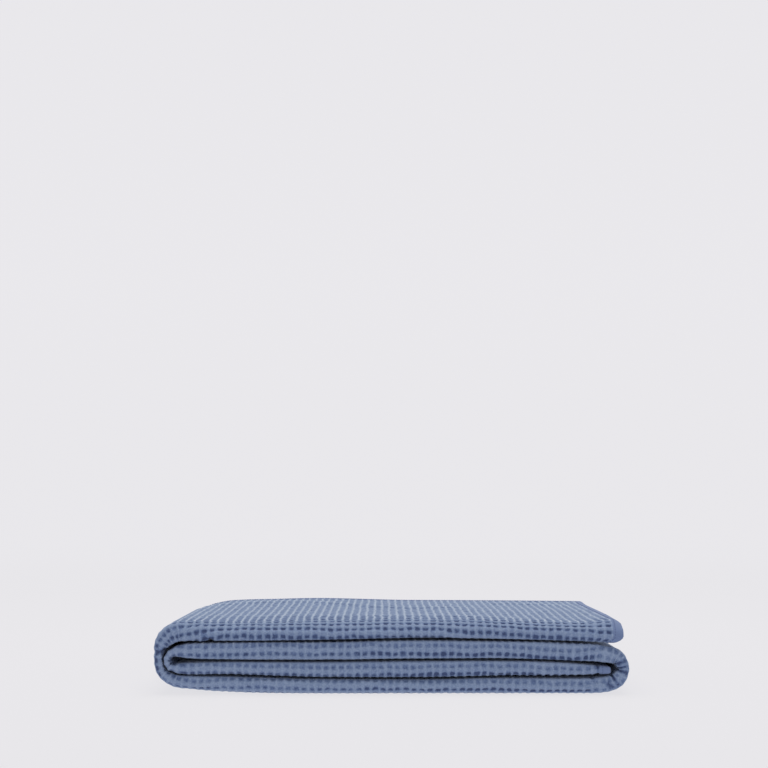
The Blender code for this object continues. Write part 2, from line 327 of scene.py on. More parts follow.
def lie(x, depth, z):
    """Move a point as the pile lies, and turn it to metres."""
    level = 1.0 - between(HUMP, x)
    height = z * (1.0 - BACK_DROP * level * depth / DEPTH)
    corner = eased(*DROP_DEEP, depth) * (1.0 - eased(*DROP_ALONG, x))
    height -= CORNER_DROP * corner * (z / FOLD_LINE[-1][2]) ** 2
    wave = math.sin(math.tau * (x / WAVE_LENGTH + z / WAVE_RISE))
    forward = FRONT_WAVE * wave * (1.0 - eased(0.0, WAVE_REACH, depth))
    return Vector((x, depth + forward - (DEPTH - FRONT_WAVE) / 2.0, max(height, 0.0))) * MM


def lay(station, point, off):
    """Where a point of the cloth lies that stands off from the middle of its layer."""
    depth, height, way_depth, way_height = point
    depth += off * way_depth
    height += off * way_height
    share = inner_share(station, depth)
    body = station["body"]
    middle = Vector((station["x"], station["z"]))
    middle = middle.lerp(Vector((body["x"], body["z"])), share)
    along = Vector((station["x_slope"], station["z_slope"])).normalized()
    along = along.lerp(Vector((body["x_slope"], body["z_slope"])).normalized(), share)
    along.normalize()
    off_middle = height - thickness_at(station, depth) / 2.0
    x = middle.x - along.y * off_middle
    z = middle.y + along.x * off_middle
    if station["z"] > TOP_BAND_ABOVE:
        end = eased(END_FROM, FOLD_LINE[-1][1], station["x"])
        if height < END_HIGH:
            x -= END_PULLED * end * (1.0 - height / END_HIGH) ** 2
        x += CORNER_OUT * end * eased(CORNER_FROM, DEPTH, depth)
        if off_middle > 0.0:
            crest = CREST_HIGH * between(CREST_ENDS, x) * max(way_height, 0.0)
            behind = depth - CREST_AT - CREST_SLANT * x
            z += crest * math.exp(-((behind / CREST_WIDTH) ** 2))
            sag = FRONT_SAG * between(SAG_ALONG, x) * (1.0 - eased(*SAG_DEEP, depth))
            sag += HEM_DROOP * eased(*DROOP_ALONG, x) * (1.0 - eased(*DROOP_DEEP, depth))
            z -= sag * eased(0.0, SAG_HIGH, off_middle)
    return lie(x, depth, z)


front_path = make_path(0.0)
body_path = make_path(1.0)
# The cells keep their size on the outer face, so the strip's length is measured there.
PLACE_STEPS = 40
place_table = []
length_table = []
last = None
for step in range((len(FOLD_LINE) - 1) * PLACE_STEPS + 1):
    place = step / PLACE_STEPS
    body = path_at(body_path, place)
    along = Vector((body["x_slope"], body["z_slope"])).normalized()
    outer = Vector((body["x"] - along.y * body["body_thick"] / 2.0,
                    body["z"] + along.x * body["body_thick"] / 2.0))
    gone = length_table[-1] + (outer - last).length if length_table else 0.0
    place_table.append(place)
    length_table.append(gone)
    last = outer
STRIP = length_table[-1]
LONG_CELLS = 4 * round((STRIP - 2.0 * HEM) / CELL / 4.0 + 0.5)
PANEL_CELLS = 47
ACROSS_CELLS = LAYERS * PANEL_CELLS
long_cell = (STRIP - 2.0 * HEM) / (LONG_CELLS - 2)


def station_at(column):
    """The strip at a column that is counted in cells from the inner hem."""
    if column < 1.0:
        length = HEM * column
    elif column > LONG_CELLS - 1:
        length = STRIP - HEM * (LONG_CELLS - column)
    else:
        length = HEM + (column - 1.0) * long_cell
    length = min(max(length, 0.0), STRIP)
    index = min(bisect.bisect_right(length_table, length), len(length_table) - 1)
    low, high = length_table[index - 1], length_table[index]
    share = (length - low) / (high - low)
    place = place_table[index - 1] + share / PLACE_STEPS
    station = path_at(front_path, place)
    station["body"] = path_at(body_path, place)
    return station


# The sheet starts flat, counted in cells, as coarse as its hidden folds allow.
COLUMN_LINES = ((0, 1, 1), (1, 53, 4), (53, 61, 1), (61, 113, 4), (113, 125, 1),
                (125, 173, 4), (173, 193, 1), (193, 241, 4), (241, 243, 2), (243, 244, 1))
ROW_LINES = ((0, 1, 1), (1, 37, 4), (37, 50, 1), (50, 90, 8), (90, 93.25, 3.25),
             (93.25, 94.75, 0.25), (94.75, 98.75, 4), (98.75, 136.25, 12.5),
             (136.25, 140.25, 4), (140.25, 141.75, 0.25), (141.75, 147, 5.25),
             (147, 187, 10), (187, 188, 1))
# Creases in the cloth: how wide each is to either side, in millimetres, and its line's
# columns and rows, with how far the cloth stands up or sinks in at each.
CREASES = (
    ("slantwise over the top", 9.0,
     ((187.0, 11.0, 0.0), (191.7, 9.6, 0.8), (196.0, 8.8, 1.1), (202.0, 9.6, 1.3),
      (209.7, 16.4, 1.4), (217.0, 22.0, 1.3), (224.0, 21.7, 1.0), (231.0, 19.5, 0.0))),
    ("behind it", 14.0,
     ((194.0, 5.4, 0.0), (202.0, 5.6, -0.7), (209.7, 11.8, -0.9), (217.0, 17.4, -0.9),
      (224.0, 17.0, -0.7), (231.0, 15.5, 0.0))),
    ("top, back right", 8.0,
     ((228.5, 8.8, 0.0), (232.0, 9.0, 0.9), (237.0, 10.4, 1.1), (241.0, 14.6, 0.5),
      (242.6, 17.5, 0.0))),
    ("top, along its front", 8.0,
     ((188.0, 36.6, 0.0), (194.0, 37.6, 0.7), (199.0, 38.8, 0.9), (205.0, 40.2, 1.0),
      (217.0, 40.6, 1.0), (223.3, 40.4, 1.0), (230.0, 41.4, 0.9), (235.0, 43.0, 0.7),
      (238.5, 43.9, 0.5), (241.7, 44.8, 0.0))),
    ("tuck, top band's left", 2.4,
     ((190.9, 46.8, 0.0), (191.4, 48.0, -1.1), (192.4, 49.0, -2.4), (193.0, 50.0, -2.4))),
    ("its lip", 4.0,
     ((190.4, 43.5, 0.0), (190.8, 46.0, 0.7), (191.0, 48.6, 0.6), (191.4, 49.6, 0.0))),
    ("crack, left bend", 2.4,
     ((183.6, 48.6, -3.0), (183.0, 47.4, -2.8), (182.6, 46.6, -2.4), (182.3, 45.6, 0.0))),
    ("beside the left bend", 2.6,
     ((182.5, 46.2, -1.6), (181.3, 46.2, -1.6), (179.6, 46.3, -1.0), (178.6, 46.4, 0.0))),
    ("beside the inner hem", 1.6,
     ((1.5, 48.9, -1.6), (1.3, 47.4, -1.6), (1.2, 46.0, -0.6))),
    ("pinch, inner bend low", 1.9, ((55.8, 48.4, -2.2), (55.3, 46.7, 0.0))),
    ("pinch, inner bend lower", 1.9, ((54.8, 49.0, -2.2), (54.2, 47.0, 0.0))),
    ("pinch, inner bend", 1.9, ((56.8, 48.4, -1.8), (56.8, 46.8, 0.0))),
    ("pinch, right bend high", 2.4,
     ((115.6, 48.8, -3.4), (116.4, 47.0, -1.8), (116.8, 46.2, 0.0))),
    ("dimple, right bend", 2.2, ((117.2, 48.4, -2.6), (117.3, 46.9, -1.8))),
    ("pinch, right bend", 2.4,
     ((118.2, 49.0, -3.4), (118.3, 46.8, -2.0), (118.3, 46.0, 0.0))),
    ("pinch, right bend low", 2.4,
     ((120.7, 48.8, -3.2), (120.5, 46.8, -1.2), (120.4, 46.2, 0.0))),
    ("pinch, bottom band right", 2.2, ((124.0, 49.2, -2.8), (123.8, 47.3, 0.0))),
    ("dimple, bottom band right", 2.2, ((121.9, 47.1, -2.2), (121.1, 46.4, -1.2))),
)
CREASE_STEPS = 4
CREASE_REACH = 2.5          # widths away, where a crease has died out
# Where the weave shows, each cell is cut in parts, finest on the fronts: how many parts,
# and each place's columns from and to and rows from and to.
WEAVE_SHOWS = (
    (3, ((173, 243, 1, 49), (113, 125, 1, 49), (1, 243, 44, 49))),
    (6, ((173, 243, 40, 49), (1, 243, 45, 49))),
)
KEY_STEPS = 48              # parts of a cell in which the strip's section is worked out
WAVER = 0.15                # how far the ridges wander, in cells
UNEVEN = 0.35               # how much deeper or shallower one pit is than the next


def lines_of(spans):
    """The lines of a lattice whose spans each have their own step."""
    lines = [float(spans[0][0])]
    for start, end, step in spans:
        for count in range(1, round((end - start) / step) + 1):
            lines.append(start + count * step)
    return lines


def curved(line):
    """A crease's line with its corners rounded."""
    places = [0.0]
    for start, end in zip(line, line[1:]):
        places.append(places[-1] + math.hypot(end[0] - start[0], end[1] - start[1]))
    values = list(zip(*line))
    slopes = [row_slopes(places, value) for value in values]
    points = []
    for index in range(len(line) - 1):
        gap = places[index + 1] - places[index]
        for step in range(CREASE_STEPS):
            points.append([
                curve_value(value[index], value[index + 1], slope[index], slope[index + 1],
                            gap, step / CREASE_STEPS)[0]
                for value, slope in zip(values, slopes)])
    return points + [list(line[-1])]


# Each crease with its reach, in columns and rows.
creases = []
for name, width, line in CREASES:
    reach = CREASE_REACH * width / CELL
    columns = [spot[0] for spot in line]
    rows = [spot[1] for spot in line]
    creases.append((width, curved(line), min(columns) - reach, max(columns) + reach,
                    min(rows) - reach, max(rows) + reach))


def crease_at(column, row):
    """How far creases lift the cloth there, and how raised and sunk it is, from 0 to 1."""
    lifted, raised, sunk = 0.0, 0.0, 0.0
    for width, line, left, right, low, high in creases:
        if not left < column < right or not low < row < high:
            continue
        nearest, lift = 1e9, 0.0
        for start, end in zip(line, line[1:]):
            run = Vector(end[:2]) - Vector(start[:2])
            away = Vector((column, row)) - Vector(start[:2])
            share = min(max(away.dot(run) / run.length_squared, 0.0), 1.0)
            gap = (away - run * share).length * CELL
            if gap < nearest:
                nearest, lift = gap, start[2] + (end[2] - start[2]) * share
        near = math.exp(-((nearest / width) ** 2))
        lifted += lift * near
        raised = max(raised, min(lift, 1.0) * near ** 3)
        sunk = max(sunk, min(-lift / 2.0, 1.0) * near)
    return lifted, raised, sunk


def inset(column, row, share):
    """A place on the sheet, kept in from its edge by a share of a cell."""
    return (min(max(column, share), LONG_CELLS - share),
            min(max(row, share), ACROSS_CELLS - share))


def shown_edges(sheet, along, parts, places):
    """Edges to cut along one way, on the right side, where the weave shows. Each group is a
    dict, which keeps the mesh's order: a set's order would change from run to run."""
    found = {}
    for face in sheet.faces:
        centre = face.calc_center_median()
        if centre.z < 0.5 or not any(low < centre.x < high and first < centre.y < past
                                     for low, high, first, past in places):
            continue
        for edge in face.edges:
            step = edge.verts[1].co - edge.verts[0].co
            if abs(step[1 - along]) > 1e-4 or abs(step.z) > 1e-4:
                continue
            cuts = round(abs(step[along]) * parts) - 1
            if cuts > 0:
                found.setdefault(cuts, {})[edge] = True
    return found


column_lines = lines_of(COLUMN_LINES)
row_lines = lines_of(ROW_LINES)
sheet = bmesh.new()
bmesh.ops.create_grid(sheet, x_segments=len(column_lines) - 1,
                      y_segments=len(row_lines) - 1, size=1.0)
bmesh.ops.solidify(sheet, geom=sheet.faces[:], thickness=0.1)
middle = sum(vert.co.z for vert in sheet.verts) / len(sheet.verts)
for vert in sheet.verts:
    column = round((vert.co.x + 1.0) / 2.0 * (len(column_lines) - 1))
    row = round((1.0 - vert.co.y) / 2.0 * (len(row_lines) - 1))
    side = 1.0 if vert.co.z > middle else -1.0
    vert.co = (column_lines[column], row_lines[row], side)
# Solidify makes the faces round the edge in an order that changes from run to run. Sorted
# by side, column and row, every face keeps its number.
FACE_ORDER = Vector((1e3, 1.0, 1e6))
sheet.faces.sort(key=lambda face: face.calc_center_median().dot(FACE_ORDER))
for parts, places in WEAVE_SHOWS:
    for along in (0, 1):
        groups = shown_edges(sheet, along, parts, places)
        while groups:
            cuts = max(groups)
            bmesh.ops.subdivide_edges(sheet, edges=list(groups[cuts]), cuts=cuts,
                                      use_grid_fill=True, use_single_edge=True)
            groups = shown_edges(sheet, along, parts, places)
bmesh.ops.triangulate(sheet, faces=[face for face in sheet.faces if len(face.verts) > 4])

# The weave's own shape. On the flat its ridges from front to back stand highest. Over the
# front folds the cloth is stretched: the ridges along stand out, and the pits open.
DOWN_RIDGE = (0.05, 0.37)   # a ridge's flat top and its foot, in cells from its middle
ALONG_RIDGE = (0.14, 0.45)
DOWN_HIGH = (1.0, 0.82)     # a ridge's height on the flat, and where it is stretched
ALONG_HIGH = (0.70, 0.82)
STRETCHED_AT = (0.12, 0.34) # how far the cloth looks to the front there
# How far the pits open sets both their depth and how much painted shade they take.
OPEN_FROM = 2.0             # heights over the middle of a band between which its pits open
OPEN_FULL = -3.0
OPEN_LEAST = 0.35
OPEN_ALONG = (-90.0, 90.0)  # the lower rows open more towards the right
OPEN_LEFT = 0.3
TOP_OPEN = 0.80
CALM_PAST = (196.0, 214.0)  # round the bends they are calmer
CALM_RIGHT = 0.30
CALM_BEFORE = (-222.0, -192.0)
CALM_LEFT = 0.55
HEM_HIGH = 0.6              # the weave's height where the hem has pressed it


def weave_height(column, row, stretched):
    """Height of the weave over its pits, from 0 to 1."""
    if not 1.0 <= column <= LONG_CELLS - 1 or not 1.0 <= row <= ACROSS_CELLS - 1:
        return HEM_HIGH
    off_column = abs(column - round(column))
    off_row = abs(row - round(row))
    down = 1.0 - eased(*DOWN_RIDGE, off_column)
    down *= DOWN_HIGH[0] + (DOWN_HIGH[1] - DOWN_HIGH[0]) * stretched
    along = 1.0 - eased(*ALONG_RIDGE, off_row)
    along *= ALONG_HIGH[0] + (ALONG_HIGH[1] - ALONG_HIGH[0]) * stretched
    return down + along - down * along


def spot_at(column, row):
    """The strip and the point of its section at a column and row."""
    key = round(column * KEY_STEPS)
    if key not in columns_made:
        station = station_at(key / KEY_STEPS)
        columns_made[key] = (station, section(station))
    station, shape = columns_made[key]
    return station, section_point(station, shape, row)


def cloth_point(column, row, off):
    """Where the cloth lies at a column and row, at a distance off its layer's middle."""
    station, point = spot_at(column, row)
    return lay(station, point, off * layer_thickness(station) / CLOTH)


def weave_at(column, row):
    """The weave at a column and row: how stretched it is over a fold and how open its pits
    are, from 0 to 1, and the creases' lift and how raised and sunk they leave it."""
    if (column, row) in weaves_made:
        return weaves_made[column, row]
    station, point = spot_at(column, row)
    stretched = 1.0 if row > PANEL_CELLS else eased(*STRETCHED_AT, -point[2])
    opened = TOP_OPEN
    if station["z"] < TOP_BAND_ABOVE:
        over_middle = lay(station, point, 0.0).z / MM - station["z"]
        low = 1.0 - eased(OPEN_FULL, OPEN_FROM, over_middle)
        rightwards = OPEN_LEFT + (1.0 - OPEN_LEFT) * eased(*OPEN_ALONG, station["x"])
        opened = OPEN_LEAST + (1.0 - OPEN_LEAST) * low * rightwards
        opened += (CALM_RIGHT - opened) * eased(*CALM_PAST, station["x"])
    opened += (CALM_LEFT - opened) * (1.0 - eased(*CALM_BEFORE, station["x"]))
    lift, raised, sunk = crease_at(column, row)
    opened *= 1.0 - CREASE_CLOSES * raised
    weaves_made[column, row] = (stretched, opened, lift, raised, sunk)
    return weaves_made[column, row]


def waver(spot, beyond):
    """How far the ridges wander at a spot: a slow wave and a quicker one."""
    return noise.noise(spot + beyond) + 0.7 * noise.noise(spot * 3.1 + beyond)


CREASE_CLOSES = 0.5         # how far a standing crease closes its pits, and fills them
CREASE_FILLS = 0.3
SPOT_STEP = 0.31            # noise is read so far apart from one cell to the next
UNEVEN_STEP = 2.3
COLUMN_WAVES = Vector((0.0, 0.0, 0.0))      # each from its own part of the noise
ROW_WAVES = Vector((0.0, 0.0, 5.0))
PIT_WAVES = Vector((0.0, 0.0, 9.0))
EDGE_THIN = 0.7             # the sheet's thickness at its raw edge, inside the hem
PIT_CLOSED = 0.55           # a pit's depth where it is closed, and how much more when open
PIT_OPENS = 0.6
TURNED_IN = 0.3             # the weave ends inside its hem, in cells
weaves_made = {}
columns_made = {}
cells = sheet.loops.layers.uv.new("cells")
UV_CELLS = 250.0
stretch = sheet.loops.layers.uv.new("stretch")
creased = sheet.loops.layers.uv.new("creased")
# The stretch and creased maps set the painted shade and painted highlight in the colour.
for face in sheet.faces:
    face.smooth = True
    for loop in face.loops:
        column, row, side = loop.vert.co
        loop[cells].uv = (column / UV_CELLS, row / UV_CELLS)
        stretched, opened, lift, raised, sunk = weave_at(column, row)
        loop[stretch].uv = (stretched, opened)
        loop[creased].uv = (raised, sunk)
for vert in sheet.verts:
    column, row, side = vert.co
    inside = min(column, LONG_CELLS - column, row, ACROSS_CELLS - row, 1.0)
    spot = Vector((column * SPOT_STEP, row * SPOT_STEP, 3.0))
    off = side * CLOTH / 2.0 * (EDGE_THIN + (1.0 - EDGE_THIN) * inside)
    if side > 0.0 and inside >= 1.0:
        uneven = 1.0 + UNEVEN * noise.noise(spot * UNEVEN_STEP + PIT_WAVES)
        stretched, opened, lift, raised, sunk = weave_at(column, row)
        high = weave_height(column, row, stretched)
        pit = PIT * uneven * (PIT_CLOSED + PIT_OPENS * opened)
        off -= pit * (1.0 - CREASE_FILLS * raised) * (1.0 - high)
        off += lift
    wander = WAVER * inside
    column += wander * waver(spot, COLUMN_WAVES)
    row += wander * waver(spot, ROW_WAVES)
    vert.co = cloth_point(*inset(column, row, TURNED_IN), off)
cloth_mesh = bpy.data.meshes.new("blanket_cloth")
sheet.to_mesh(cloth_mesh)
sheet.free()
cloth = bpy.data.objects.new("blanket_cloth", cloth_mesh)
bpy.context.scene.collection.objects.link(cloth)


def from_hex(code):
    """A colour's linear values from its sRGB hex code."""
    values = [int(code[start:start + 2], 16) / 255.0 for start in (1, 3, 5)]
    linear = [value / 12.92 if value <= 0.04045 else ((value + 0.055) / 1.055) ** 2.4
              for value in values]
    return (*linear, 1.0)


def add_node(material, kind, settings=None, links=None, values=None):
    """A node with its settings, its inputs' numbers, and the sockets that feed it."""
    node = material.node_tree.nodes.new(kind)
    for name, setting in (settings or {}).items():
        setattr(node, name, setting)
    for name, value in (values or {}).items():
        node.inputs[name].default_value = value
    for name, socket in (links or {}).items():
        material.node_tree.links.new(socket, node.inputs[name])
    return node


# Yarn-dyed cotton, woven and washed: matt and a little fuzzy.
# Its colour holds painted shade down in the pits and a painted highlight on the top's
# ridges.
cotton = bpy.data.materials.new("washed_cotton_weave")
cotton.use_nodes = True
surface = cotton.node_tree.nodes["Principled BSDF"]
surface.inputs["Roughness"].default_value = 0.92
surface.inputs["Specular IOR Level"].default_value = 0.25
surface.inputs["Sheen Weight"].default_value = 0.40
surface.inputs["Sheen Roughness"].default_value = 0.35
surface.inputs["Sheen Tint"].default_value = from_hex("#d2dbe6")
uv = add_node(cotton, "ShaderNodeUVMap", {"uv_map": "cells"})
scaled = add_node(cotton, "ShaderNodeVectorMath", {"operation": "SCALE"},
                  {"Vector": uv.outputs["UV"]}, {"Scale": UV_CELLS})
# The yarns wander a little from cell to cell.
YARNS_WANDER = 0.19         # cells to either side
wander = add_node(cotton, "ShaderNodeTexNoise", None, {"Vector": scaled.outputs["Vector"]},
                  {"Scale": 0.9, "Detail": 2.0})
wander = add_node(cotton, "ShaderNodeVectorMath", {"operation": "MULTIPLY_ADD"},
                  {0: wander.outputs["Color"], 2: scaled.outputs["Vector"]},
                  {1: (2.0 * YARNS_WANDER, 2.0 * YARNS_WANDER, 0.0)})
wander = add_node(cotton, "ShaderNodeVectorMath", {"operation": "SUBTRACT"},
                  {0: wander.outputs["Vector"]}, {1: (YARNS_WANDER, YARNS_WANDER, 0.0)})
split = add_node(cotton, "ShaderNodeSeparateXYZ", None,
                 {"Vector": wander.outputs["Vector"]})
off_column = add_node(cotton, "ShaderNodeMath", {"operation": "PINGPONG"},
                      {0: split.outputs["X"]}, {1: 0.5})
off_row = add_node(cotton, "ShaderNodeMath", {"operation": "PINGPONG"},
                   {0: split.outputs["Y"]}, {1: 0.5})
down = add_node(cotton, "ShaderNodeMapRange", {"interpolation_type": "SMOOTHSTEP"},
                {"Value": off_column.outputs[0]},
                {"From Min": DOWN_RIDGE[0], "From Max": DOWN_RIDGE[1],
                 "To Min": 1.0, "To Max": 0.0})
along = add_node(cotton, "ShaderNodeMapRange", {"interpolation_type": "SMOOTHSTEP"},
                 {"Value": off_row.outputs[0]},
                 {"From Min": ALONG_RIDGE[0], "From Max": ALONG_RIDGE[1],
                  "To Min": 1.0, "To Max": 0.0})
# The same stretch as the mesh has, kept in its own map: how far over a fold, how far open.
# How far open the pits are also sets how much painted shade they take.
stretch_uv = add_node(cotton, "ShaderNodeUVMap", {"uv_map": "stretch"})
stretched = add_node(cotton, "ShaderNodeSeparateXYZ", None,
                     {"Vector": stretch_uv.outputs["UV"]})
down_high = add_node(cotton, "ShaderNodeMapRange", None, {"Value": stretched.outputs["X"]},
                     {"To Min": DOWN_HIGH[0], "To Max": DOWN_HIGH[1]})
along_high = add_node(cotton, "ShaderNodeMapRange", None, {"Value": stretched.outputs["X"]},
                      {"To Min": ALONG_HIGH[0], "To Max": ALONG_HIGH[1]})
down_shape = down
down = add_node(cotton, "ShaderNodeMath", {"operation": "MULTIPLY"},
                {0: down_shape.outputs[0], 1: down_high.outputs[0]})
along = add_node(cotton, "ShaderNodeMath", {"operation": "MULTIPLY"},
                 {0: along.outputs[0], 1: along_high.outputs[0]})
both = add_node(cotton, "ShaderNodeMath", {"operation": "MULTIPLY"},
                {0: down.outputs[0], 1: along.outputs[0]})
either = add_node(cotton, "ShaderNodeMath", {"operation": "ADD"},
                  {0: down.outputs[0], 1: along.outputs[0]})
height = add_node(cotton, "ShaderNodeMath", {"operation": "SUBTRACT"},
                  {0: either.outputs[0], 1: both.outputs[0]})
# One cell's pits hold a little more painted shade than the next; the yarns' fuzz mottles
# each ridge.
coordinates = add_node(cotton, "ShaderNodeTexCoord")
by_cell = add_node(cotton, "ShaderNodeTexNoise", None, {"Vector": scaled.outputs["Vector"]},
                   {"Scale": 0.7, "Detail": 1.0})
fuzz = add_node(cotton, "ShaderNodeTexNoise", None,
                {"Vector": coordinates.outputs["Object"]}, {"Scale": 600.0, "Detail": 2.0})
painted_shade_in_pits = add_node(cotton, "ShaderNodeMapRange", None, {"Value": stretched.outputs["Y"]},
                     {"To Min": 0.1, "To Max": 1.3})
uneven_pits = add_node(cotton, "ShaderNodeMapRange", None,
                       {"Value": by_cell.outputs["Fac"]},
                       {"From Min": 0.3, "From Max": 0.7, "To Min": 0.75, "To Max": 1.25})
# Painted shade: the further below the ridges, the darker the colour, more so where pits
# open.
depth = add_node(cotton, "ShaderNodeMath", {"operation": "SUBTRACT"},
                 {1: height.outputs[0]}, {0: 1.0})
depth = add_node(cotton, "ShaderNodeMath", {"operation": "MULTIPLY"},
                 {0: depth.outputs[0], 1: painted_shade_in_pits.outputs[0]})
depth = add_node(cotton, "ShaderNodeMath", {"operation": "MULTIPLY"},
                 {0: depth.outputs[0], 1: uneven_pits.outputs[0]})
# Standing creases on the flat get a painted highlight; those sunk in a fold, painted shade.
creased_uv = add_node(cotton, "ShaderNodeUVMap", {"uv_map": "creased"})
crease = add_node(cotton, "ShaderNodeSeparateXYZ", None,
                  {"Vector": creased_uv.outputs["UV"]})
# Painted shade along sunk creases, on the folds only.
sunk = add_node(cotton, "ShaderNodeMath", {"operation": "MULTIPLY"},
                {0: crease.outputs["Y"], 1: stretched.outputs["X"]})
depth = add_node(cotton, "ShaderNodeMath", {"operation": "MULTIPLY_ADD"},
                 {0: sunk.outputs[0], 2: depth.outputs[0]}, {1: 0.85})
flat = add_node(cotton, "ShaderNodeMath", {"operation": "SUBTRACT"},
                {1: stretched.outputs["X"]}, {0: 1.0})
raised = add_node(cotton, "ShaderNodeMath", {"operation": "MULTIPLY"},
                  {0: crease.outputs["X"]}, {1: 0.42})
# Painted highlight on the flat top only: along each ridge's crest and each standing crease.
painted_highlight = add_node(cotton, "ShaderNodeMath", {"operation": "POWER"},
                {0: down_shape.outputs[0]}, {1: 2.5})
painted_highlight = add_node(cotton, "ShaderNodeMath", {"operation": "MULTIPLY_ADD"},
                {0: painted_highlight.outputs[0], 2: raised.outputs[0]}, {1: 0.7})
painted_highlight = add_node(cotton, "ShaderNodeMath", {"operation": "MULTIPLY"},
                {0: painted_highlight.outputs[0], 1: flat.outputs[0]})
painted_highlight = add_node(cotton, "ShaderNodeMath", {"operation": "MULTIPLY"},
                {0: painted_highlight.outputs[0]}, {1: 0.2})
mottle = add_node(cotton, "ShaderNodeMapRange", None, {"Value": fuzz.outputs["Fac"]},
                  {"From Min": 0.35, "From Max": 0.65, "To Min": 0.78, "To Max": 1.08})
shade = add_node(cotton, "ShaderNodeMath", {"operation": "SUBTRACT", "use_clamp": True},
                 {0: mottle.outputs[0], 1: depth.outputs[0]})
shade = add_node(cotton, "ShaderNodeMath", {"operation": "MULTIPLY_ADD", "use_clamp": True},
                 {0: shade.outputs[0], 2: painted_highlight.outputs[0]}, {1: 0.8})
# The ramp turns this into colour: its dark end is painted shade, its palest painted
# highlight.
ramp = add_node(cotton, "ShaderNodeValToRGB", None, {"Fac": shade.outputs[0]})
ramp.color_ramp.elements[0].position = 0.0
ramp.color_ramp.elements[0].color = from_hex("#435176")
ramp.color_ramp.elements[1].position = 1.0
ramp.color_ramp.elements[1].color = from_hex("#bac6d4")
for position, colour in ((0.32, "#62759b"), (0.50, "#7284a7"), (0.80, "#8b9cb9")):
    ramp.color_ramp.elements.new(position).color = from_hex(colour)
cotton.node_tree.links.new(ramp.outputs["Color"], surface.inputs["Base Color"])
relief = add_node(cotton, "ShaderNodeBump", None, {"Height": height.outputs[0]},
                  {"Strength": 0.6, "Distance": 0.0014})
yarns = add_node(cotton, "ShaderNodeBump", None,
                 {"Height": fuzz.outputs["Fac"], "Normal": relief.outputs["Normal"]},
                 {"Strength": 0.35, "Distance": 0.0006})
cotton.node_tree.links.new(yarns.outputs["Normal"], surface.inputs["Normal"])
cloth.data.materials.append(cotton)

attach(cloth, "root")
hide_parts("blanket")


# ---- Hem --------------------------------------------------------------------------------
# The sheet's raw edges are turned over twice to a flat plain hem, 10 mm wide, all round.
# It is part of the same cloth, and its weave is pressed smooth.

# Across the hem: the distance from the edge, in shares of its width, and how far it stands
# off from the middle of the layer, in millimetres.
HEM_ROUND = ((0.0, 0.0), (0.04, 0.95), (0.16, 1.55), (0.45, 1.72), (0.80, 1.66),
             (0.97, 1.62), (1.06, 1.2), (1.06, -1.2), (0.97, -1.62), (0.80, -1.66),
             (0.45, -1.72), (0.16, -1.55), (0.04, -0.95))


def hem_steps(spans):
    """Places along one edge of the sheet, in cells."""
    return lines_of(spans)[:-1]


long_steps = hem_steps(((0, 1, 1), (1, 53, 1), (53, 61, 0.5), (61, 113, 1), (113, 125, 0.5),
                        (125, 173, 1), (173, 193, 0.5), (193, 244, 1)))
across_steps = hem_steps(((0, 1, 1), (1, 41, 1), (41, 50, 0.25), (50, 93, 1),
                          (93, 95, 0.125), (95, 140, 1), (140, 142, 0.125), (142, 187, 1),
                          (187, 188, 1)))
round_edge = ([(step, 0.0) for step in long_steps]
              + [(float(LONG_CELLS), step) for step in across_steps]
              + [(LONG_CELLS - step, float(ACROSS_CELLS)) for step in long_steps]
              + [(0.0, ACROSS_CELLS - step) for step in across_steps])


hem_bmesh = bmesh.new()
bmesh.ops.create_grid(hem_bmesh, x_segments=len(round_edge), y_segments=len(HEM_ROUND),
                      size=1.0)
for vert in hem_bmesh.verts:
    step = round((vert.co.x + 1.0) / 2.0 * len(round_edge)) % len(round_edge)
    turn = round((vert.co.y + 1.0) / 2.0 * len(HEM_ROUND)) % len(HEM_ROUND)
    share, off = HEM_ROUND[turn]
    vert.co = cloth_point(*inset(*round_edge[step], share), off)
bmesh.ops.remove_doubles(hem_bmesh, verts=hem_bmesh.verts[:], dist=1e-7)
bmesh.ops.recalc_face_normals(hem_bmesh, faces=hem_bmesh.faces[:])
hem_mesh = bpy.data.meshes.new("hem")
hem_bmesh.to_mesh(hem_mesh)
hem_bmesh.free()
hem_mesh.shade_smooth()
hem = bpy.data.objects.new("hem", hem_mesh)
bpy.context.scene.collection.objects.link(hem)
# The same cotton, folded over and pressed: plain, smooth and matt, without ridges or pits.
pressed = bpy.data.materials.new("pressed_plain_cotton")
pressed.use_nodes = True
pressed_surface = pressed.node_tree.nodes["Principled BSDF"]
pressed_surface.inputs["Base Color"].default_value = from_hex("#6f80a6")
pressed_surface.inputs["Roughness"].default_value = 0.9
pressed_surface.inputs["Specular IOR Level"].default_value = 0.25
pressed_surface.inputs["Sheen Weight"].default_value = 0.25
pressed_surface.inputs["Sheen Roughness"].default_value = 0.5
pressed_surface.inputs["Sheen Tint"].default_value = from_hex("#c6cede")
hem.data.materials.append(pressed)
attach(hem, "root")


# ---- Hem stitching ----------------------------------------------------------------------
# One row of lockstitch in cotton thread holds the hem, 2 mm from its inner edge.

